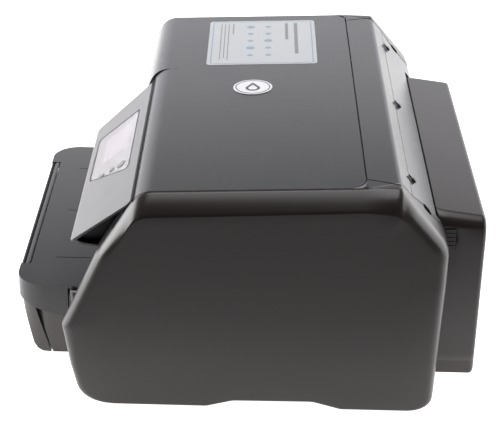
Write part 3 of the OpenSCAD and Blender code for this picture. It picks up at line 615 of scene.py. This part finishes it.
def add_top_cover():
    """The lid's shell. It reaches further down in front on the left of the control panel."""
    top_front = (LID_FRONT_Y, lid_top_z(LID_FRONT_Y), 0)
    right = round_path([top_front, (-93.4, 206.5, 21), (-99.1, 197.8, 0)], 8)
    left = round_path([top_front, (-99.0, 206.24, 21), (-107.1, 185.0, 0)], 10)
    edge_steps = (0, 0.8, 2.6, 5.4, 9, 13, LID_CORNER)
    columns = [-LID_HALF + d for d in edge_steps]
    columns += [-170, -120, LID_STEP_X - 0.3, LID_STEP_X + 0.4, -20, 60, 140]
    columns += [LID_HALF - d for d in reversed(edge_steps)]
    verts = []

    def rear_y(x):
        over = abs(x) - (LID_HALF - LID_CORNER)
        drop = LID_CORNER - math.sqrt(max(0, LID_CORNER**2 - over**2)) if over > 0 else 0
        return LID_REAR_Y - 0.9 - drop

    for t in LID_ROW_PLACES:
        for x in columns:
            y = rear_y(x) + (LID_FRONT_Y - rear_y(x)) * t
            verts.append((x, y, lid_top_z(y)))
    faces = grid_faces(len(LID_ROW_PLACES), len(columns))
    split = columns.index(LID_STEP_X + 0.4)
    for path, part in ((left, columns[:split]), (right, columns[split:])):
        first = len(verts)
        for p in path:
            verts += [(x, p.x, p.y) for x in part]
        faces += grid_faces(len(path), len(part), first)
    # Wall of the notch beside the control panel
    first = len(verts)
    x = LID_STEP_X - 0.3
    wall = [(x, p.x, p.y) for p in left] + [(x, -99.1, 190)]
    wall += [(x, p.x, p.y) for p in reversed(right[1:])]
    verts += wall
    faces.append(tuple(range(first, first + len(wall))))
    # Rolled lip at the hinge
    axis = Vector(LID_AXIS)
    first = len(verts)
    lip = [LIP_START - LIP_SWEEP * k / LIP_STEPS for k in range(LIP_STEPS + 1)]
    for a in lip:
        a = math.radians(a)
        p = axis + LIP_R * Vector((math.cos(a), math.sin(a)))
        verts += [(s * (LID_HALF - LID_CORNER), p.x, p.y) for s in (-1, 1)]
    faces += grid_faces(len(lip), 2, first)
    return make_piece("top_cover_skin", verts, faces, "lid", "lid_plastic", ("top_cover",),
                      out=(0, 0, 1), shell=LID_WALL, edge=0.4, angle=40)


# ---- underside of the top cover ----
def along_x(outline, x0, x1):
    """A (y, z) outline drawn out along x."""
    return extrude_plate(outline, x0, x1, lambda y, z, x: (x, y, z))


def merge(parts):
    """One list of verts and one of faces from several."""
    verts, faces = [], []
    for part_verts, part_faces in parts:
        first = len(verts)
        verts += part_verts
        faces += [tuple(first + i for i in face) for face in part_faces]
    return verts, faces


def ring_plate(outer, inner, low, high, place):
    """A closed band between two outlines with the same number of points."""
    n = len(outer)
    loops = ((outer, low), (outer, high), (inner, high), (inner, low))
    verts = [place(u, v, w) for loop, w in loops for u, v in loop]
    faces = []
    for k in range(4):
        a, b = k * n, (k + 1) % 4 * n
        faces += [(a + i, a + (i + 1) % n, b + (i + 1) % n, b + i) for i in range(n)]
    return verts, faces


def add_lid_underside():
    """Ribs, side flanges and hinge ears that show when the top cover is up."""
    rib = round_path([(-72, 206, 0), (-72, 201.5, 3), (72, 202, 3), (72, 212, 0)], 3, True)
    flange = round_path([(-83, 205.6, 0), (-84, 200.5, 2), (-62, 200.8, 6), (84, 205, 4),
                         (90, 213.3, 0)], 3, True)
    parts = [along_x(rib, x, x + 1.6) for x in (-180, -120, -40, 20, 90, 160)]
    parts += [along_x(flange, x, x + 1.8) for x in (-LID_HALF, LID_HALF - 1.8)]
    cross = [(-1, 208.6), (1, 208.6), (1, 203), (-1, 203)]
    parts += [along_x([(y + v, z) for v, z in cross], -LID_HALF + 2, LID_HALF - 2)
              for y in (-46, 46)]
    make_piece("lid_underside_ribs", *merge(parts), "lid", "lid_plastic", edge=0.4)
    axis_y, axis_z = LID_AXIS
    turns = [math.radians(a) for a in range(150, 391, 15)]
    knuckle = [(axis_y + KNUCKLE_R * math.cos(a), axis_z + KNUCKLE_R * math.sin(a))
               for a in turns]
    ear = [*knuckle, (98.5, 212), (84, 212.6), (62, 211.2), (62, 207)]
    ears = merge([along_x(ear, x, x + 4) for x in (-218, 214)])
    make_piece("lid_hinge_ears", *ears, "lid", "lid_plastic", edge=0.5)


# ---- label and badge on the top cover ----
def on_lid(x, y, height):
    return (x, y, lid_top_z(y) + height)


def lid_plate(outline, low, high):
    return extrude_plate(outline, low, high, on_lid)


def circle(x, y, r, steps=16):
    turns = [2 * math.pi * k / steps for k in range(steps)]
    return [(x + r * math.cos(a), y + r * math.sin(a)) for a in turns]


LABEL_X = (-210, -75)
LABEL_Y = (-47, 68)
PRINT_LOW, PRINT_HIGH = 0.19, 0.24


def add_label():
    """A blank set-up label: paper, a pale frame, and plain bars and dots for its print."""
    (x0, x1), (y0, y1) = LABEL_X, LABEL_Y
    sheet = lid_plate(rectangle(x0, x1, y0, y1, 5), 0.01, 0.2)
    make_piece("lid_label", *sheet, "lid", "key_print", edge=0.05, segments=1,
               paint=LABEL_PAPER)
    outer = rectangle(x0 + 3, x1 - 3, y0 + 3.5, y1 - 3.5, 3)
    inner = rectangle(x0 + 4, x1 - 4, y0 + 4.7, y1 - 4.7, 2)
    frame_line = ring_plate(outer, inner, PRINT_LOW, PRINT_HIGH, on_lid)
    dots = []
    for k, y in enumerate((-2, 17)):
        for i in range(5):
            dot = circle(x0 + 20 + 22 * i, y, 3.2 if (i + k) % 3 else 4.6)
            dots.append(lid_plate(dot, PRINT_LOW, PRINT_HIGH))
    make_piece("label_frame_and_dots", *merge([frame_line, *dots]), "lid", "key_print",
               edge=0, paint=LABEL_BLUE)
    bars = [rectangle(x0 + 9, x0 + 9 + length, y - half, y + half, 0.5, 2)
            for y, half, length in ((37, 1.6, 52), (47, 1.9, 96), (-21, 0.7, 34),
                                    (-26, 0.5, 112), (-30, 0.5, 106), (-34, 0.5, 110))]
    plates = [lid_plate(b, PRINT_LOW, PRINT_HIGH) for b in bars]
    make_piece("label_bars", *merge(plates), "lid", "key_print", edge=0, paint=LABEL_GREY)


BADGE_AT = (-10.7, 1.8)
BADGE_R = 19.5
BADGE_STEPS = 64
DROP_TURNS = [math.radians(-128 + 256 * k / 20) for k in range(21)]


def drop_outline(x, y, tip, r):
    """A drop with its tip to the left; its round end sits 3 mm right of (x, y)."""
    return [(x - tip, y)] + [(x + 3 + r * math.cos(a), y + r * math.sin(a)) for a in DROP_TURNS]


def add_badge():
    """A plain round badge with a drop of ink on it."""
    x, y = BADGE_AT
    disc = lid_plate(circle(x, y, BADGE_R, BADGE_STEPS), 0.01, 0.7)
    make_piece("lid_badge", *disc, "lid", "key_print", edge=0.3, paint=BADGE_WHITE)
    drop = ring_plate(drop_outline(x, y, 11.5, 7.2), drop_outline(x, y, 6.3, 4.6), 0.69,
                      0.86, on_lid)
    make_piece("badge_drop", *drop, "lid", "lid_plastic", edge=0)
    rim_outer = circle(x, y, BADGE_R - 2.2, BADGE_STEPS)
    rim_inner = circle(x, y, BADGE_R - 3.2, BADGE_STEPS)
    rim = ring_plate(rim_outer, rim_inner, 0.69, 0.8, on_lid)
    make_piece("badge_rim_line", *rim, "lid", "lid_plastic", edge=0)


# ---- two-sided printing unit ----
DUPLEX_X = (-162.0, 190.0)
DUPLEX_FRONT_Y = 169.0
DUPLEX_BACK_Y = 215.3
DUPLEX_BOTTOM = 9.0
DUPLEX_R = 15.0
DUPLEX_BACK_R = 4.5
DUPLEX_CORNER_R = 6.0
DUPLEX_TOP_Z = 172.6
DUPLEX_TOP_FALL = 0.124
DUPLEX_WALL = 2.4
LATCH_Y = (177.0, 188.0)
LATCH_Z = (138.5, 159.5)


def duplexer_top_z(y):
    """Height of the unit's top, which falls towards the rear."""
    return DUPLEX_TOP_Z - DUPLEX_TOP_FALL * (y - DUPLEX_FRONT_Y)


def duplexer_ring(y, shrink):
    """One closed ring round the unit at depth y, as (x, z), from the lower left up."""
    top = duplexer_top_z(min(y, DUPLEX_BACK_Y - DUPLEX_BACK_R)) - shrink
    r = DUPLEX_R - shrink
    centre_z = top - r
    over = max(0, DUPLEX_FRONT_Y + DUPLEX_CORNER_R - y)
    side_in = shrink + DUPLEX_CORNER_R - math.sqrt(DUPLEX_CORNER_R**2 - over**2)
    x1 = DUPLEX_X[1] - side_in
    half = []
    for z in (DUPLEX_BOTTOM + shrink, 30, 60, 100, LATCH_Z[0], 149, LATCH_Z[1]):
        rise = max(0, z - centre_z)
        half.append((x1 - r + math.sqrt(r * r - rise * rise), z))
    start = math.asin((LATCH_Z[1] - centre_z) / r)
    for k in range(1, 9):
        a = start + (math.pi / 2 - start) * k / 8
        half.append((x1 - r + r * math.cos(a), centre_z + r * math.sin(a)))
    middle = sum(DUPLEX_X) / 2
    left = [(2 * middle - x, z) for x, z in half]
    across = [left[-1][0] + (half[-1][0] - left[-1][0]) * k / 8 for k in range(1, 8)]
    floor_x = [half[0][0] + (left[0][0] - half[0][0]) * k / 4 for k in range(1, 4)]
    return (left + [(x, top) for x in across] + half[::-1]
            + [(x, DUPLEX_BOTTOM + shrink) for x in floor_x])


def add_duplexer_housing():
    """The unit's shell, open in front and with a hole for each latch at its ends."""
    depths = [DUPLEX_FRONT_Y, 170, 172, LATCH_Y[0], 182, LATCH_Y[1], 194, 200, 206]
    rings = [(y, duplexer_ring(y, 0)) for y in depths]
    for k in range(7):
        a = math.pi / 2 * k / 6
        y = DUPLEX_BACK_Y - DUPLEX_BACK_R * (1 - math.sin(a))
        rings.append((y, duplexer_ring(y, DUPLEX_BACK_R * (1 - math.cos(a)))))
    count = len(rings[0][1])
    opening = [(min(max(x, DUPLEX_X[0] + 9), DUPLEX_X[1] - 9), min(max(z, 13), 163))
               for x, z in rings[0][1]]
    verts = [(x, DUPLEX_FRONT_Y, z) for x, z in opening]
    verts += [(x, y, z) for y, ring in rings for x, z in ring]
    faces = []
    for face in grid_faces(len(rings) + 1, count, closed=True):
        middle = sum((Vector(verts[i]) for i in face), Vector()) / 4
        at_end = abs(middle.x - sum(DUPLEX_X) / 2) > 160
        in_hole = LATCH_Y[0] < middle.y < LATCH_Y[1] and LATCH_Z[0] < middle.z < LATCH_Z[1]
        if not (at_end and in_hole):
            faces.append(face)
    last = len(rings) * count
    faces.append(tuple(range(last, last + count)))
    make_piece("duplexer_housing_skin", verts, faces, "duplexer", "cover_plastic",
               ("duplexer_housing",), out=(0, 1, 0), shell=DUPLEX_WALL, edge=0)


# ---- pull-out paper stop of the output tray ----
def add_tray_extension():
    """A thin bar in the tray's front edge, with a finger groove along its front that a black
    strip of painted shade fills.
    """
    bar = round_path([(-206.9, 73.6, 0), (-206.9, 77.5, 0.5), (-208.4, 77.9, 0.5),
                      (-211.3, 77.3, 0.5), (-211.7, 74.0, 0.4), (-214.6, 74.0, 0.8),
                      (-214.8, 72.4, 0.8), (-209, 72.2, 0)], 3, True)
    tongue = [(-206.9, 72.9), (-206.9, 75.0), (-150, 75.0), (-150, 72.9)]
    lip = [(-208.8, 72.9), (-208.8, 74.6), (-206.7, 74.6), (-206.7, 72.9)]
    parts = [along_x(bar, -109, 123), along_x(tongue, -53, 67), along_x(lip, -53, 67)]
    make_piece("tray_extension_bar", *merge(parts), "extension", "lid_plastic",
               ("tray_extension",), edge=0.15)
    # Painted shade: a black rubber strip fills the finger groove and stands in for the shade
    # inside it.
    groove_shade = round_path([(-215.2, 71.4, 0.6), (-215.2, 76.2, 0.8), (-214, 77.1, 0.8),
                       (-211.8, 77.1, 0), (-211.8, 71.4, 0)], 3, True)
    make_piece("extension_groove_shade", *along_x(groove_shade, -108.8, 122.8), "extension", "rubber",
               edge=0)


def add_tray_clip():
    """The light U-shaped clips that hold the tray's hinge, one at each side."""
    outer = round_path([(-163, 76.5, 0.8), (-161.5, 62.5, 4.6), (-154.5, 62.5, 4.6),
                        (-153, 76.5, 0.8)], 4, True)
    inner = round_path([(-160.4, 76, 0.4), (-159.6, 65.8, 1.8), (-156.4, 65.8, 1.8),
                        (-155.6, 76, 0.4)], 4, True)
    for name, x in (("tray_clip_right", 172.5), ("tray_clip_left", -161.5)):
        clip = ring_plate(outer, inner, x, x + 3, lambda y, z, w: (w, y, z))
        make_piece(name, *clip, "cassette", "grey_plastic", edge=0.4, paint=CLIP_PLASTIC)


# ---- painted shade at the ends of the rear strip and in its chamfer's slots ----
CHAMFER_TOP = (132.0, 215.1)
CHAMFER_FALL = 52.3 / 45


def on_chamfer(x, t, height):
    """A point t down the chamfer from its top edge, height above it."""
    run = 1 / math.hypot(1, CHAMFER_FALL)
    drop = CHAMFER_FALL * run
    top_y, top_z = CHAMFER_TOP
    return (x, top_y + t * run + height * drop, top_z - t * drop + height * run)


def in_place(x, y, z):
    return (x, y, z)


def add_rear_painted_shade():
    """Painted shade: thin black plates where the chamfer's slots and the seams at the rear
    strip's ends show only shade.
    """
    # Painted shade: a black plate stands in for the shaded gap of each seam.
    for name, side in (("rear_seam_shade_right", 1), ("rear_seam_shade_left", -1)):
        seam = [(208.2, 103.4), (218.4, 131.6), (219.3, 131.6), (209.2, 103.4)]
        plate = extrude_plate([(side * x, y) for x, y in seam], 214.7, 215.22, in_place)
        make_piece(name, *plate, "chassis", "dark_plastic", edge=0, paint=PAINTED_SHADE_BLACK)
    # Painted shade: a black plate on the chamfer stands in for the shade inside each slot.
    for name, x in (("rear_slot_shade_right", 203.2), ("rear_slot_shade_left", -203.2)):
        slot_outline = rectangle(x - 5, x + 5, 34.5, 45.5, 3.5, 5)
        plate = extrude_plate(slot_outline, -0.4, 0.3, on_chamfer)
        make_piece(name, *plate, "chassis", "dark_plastic", edge=0, paint=PAINTED_SHADE_BLACK)


# ---- control panel ----
PANEL_TOP = (-99.4, 195.1)
PANEL_SLOPE = math.radians(40.9)
PANEL_CORNERS = [(-65.2, -1, 2.5), (-47, -77.6, 6), (203.4, -77.6, 6), (221.6, -1, 6)]
WINDOW_CORNERS = [(-9.2, -14.8, 2), (-9.2, -70.2, 4), (90, -70.2, 9), (131.4, -19, 3),
                  (127.2, -14.8, 1.5)]
PANEL_MIDDLE = (62, -42)
PANEL_EDGE_R = 1.7
PANEL_THICK = 3.0


def on_panel(u, v, w):
    """A point on the panel: u across, v up its slope from the rear edge, w above it."""
    c, d = math.cos(PANEL_SLOPE), math.sin(PANEL_SLOPE)
    return (u, PANEL_TOP[0] + v * c - w * d, PANEL_TOP[1] + v * d + w * c)


def shrunk(corners, by):
    """The corners of a clockwise or anticlockwise outline moved in by a distance."""
    area = sum(a[0] * b[1] - b[0] * a[1] for a, b in zip(corners, corners[1:] + corners[:1]))
    side = math.copysign(by, area)
    moved = []
    for i, (u, v, r) in enumerate(corners):
        here = Vector((u, v))
        d1 = (here - Vector(corners[i - 1][:2])).normalized()
        d2 = (Vector(corners[(i + 1) % len(corners)][:2]) - here).normalized()
        n1, n2 = Vector((-d1.y, d1.x)), Vector((-d2.y, d2.x))
        mitre = (n1 + n2).normalized()
        here += mitre * side / mitre.dot(n1)
        moved.append((here.x, here.y, max(0.2, r - by)))
    return moved


def seen_from(middle, outline, angles):
    """Where rays from the middle at the angles meet the outline."""
    points = []
    for a in angles:
        ray = Vector((math.cos(a), math.sin(a)))
        reach = []
        for p, q in zip(outline, outline[1:] + outline[:1]):
            start, along = Vector(p) - Vector(middle), Vector(q) - Vector(p)
            across = ray.x * along.y - ray.y * along.x
            if abs(across) > 1e-9:
                t = (start.x * along.y - start.y * along.x) / across
                k = (start.x * ray.y - start.y * ray.x) / across
                if t > 0 and -1e-6 <= k <= 1 + 1e-6:
                    reach.append(t)
        points.append(Vector(middle) + ray * min(reach))
    return points


def add_panel_bezel():
    """The glossy panel as one closed form, with round edges and a recess for the glass."""
    angles = set()
    for corners in (PANEL_CORNERS, WINDOW_CORNERS):
        for p in round_path(corners, 6, True):
            angles.add(round(math.atan2(p.y - PANEL_MIDDLE[1], p.x - PANEL_MIDDLE[0]), 5))
    angles |= {round(math.pi * (k / 24 - 1), 5) for k in range(48)}
    angles = sorted(angles)
    rings = [(PANEL_CORNERS, 0.8, -PANEL_THICK), (PANEL_CORNERS, 0, 0.8 - PANEL_THICK)]
    for k in range(6):
        a = math.pi / 2 * k / 5
        rings.append((PANEL_CORNERS, PANEL_EDGE_R * (1 - math.cos(a)),
                      PANEL_EDGE_R * (math.sin(a) - 1)))
    rings += [(PANEL_CORNERS, 4, 0), (WINDOW_CORNERS, -1.5, 0), (WINDOW_CORNERS, 0, 0),
              (WINDOW_CORNERS, 0.1, -0.3), (WINDOW_CORNERS, 0.1, -1.28)]
    verts = []
    for corners, by, height in rings:
        outline = round_path(shrunk(corners, by), 6, True)
        verts += [on_panel(p.x, p.y, height) for p in seen_from(PANEL_MIDDLE, outline, angles)]
    count = len(angles)
    faces = grid_faces(len(rings), count, closed=True)
    last = (len(rings) - 1) * count
    faces += [tuple(range(count)), tuple(range(last, last + count))]
    make_piece("panel_bezel_skin", verts, faces, "control_panel", "panel_gloss",
               ("panel_bezel",), edge=0)


# ---- finish ----
add_camera()
add_floor()
add_light_set()
dress_cad_nodes()
add_side_cover("side_cover_right_skin", 1, COVER_RIGHT, "side_cover_right")
add_side_cover("side_cover_left_skin", -1, COVER_LEFT, "side_cover_left")
add_top_cover()
add_lid_underside()
add_label()
add_badge()
add_duplexer_housing()
add_tray_extension()
add_tray_clip()
add_rear_painted_shade()
add_panel_bezel()
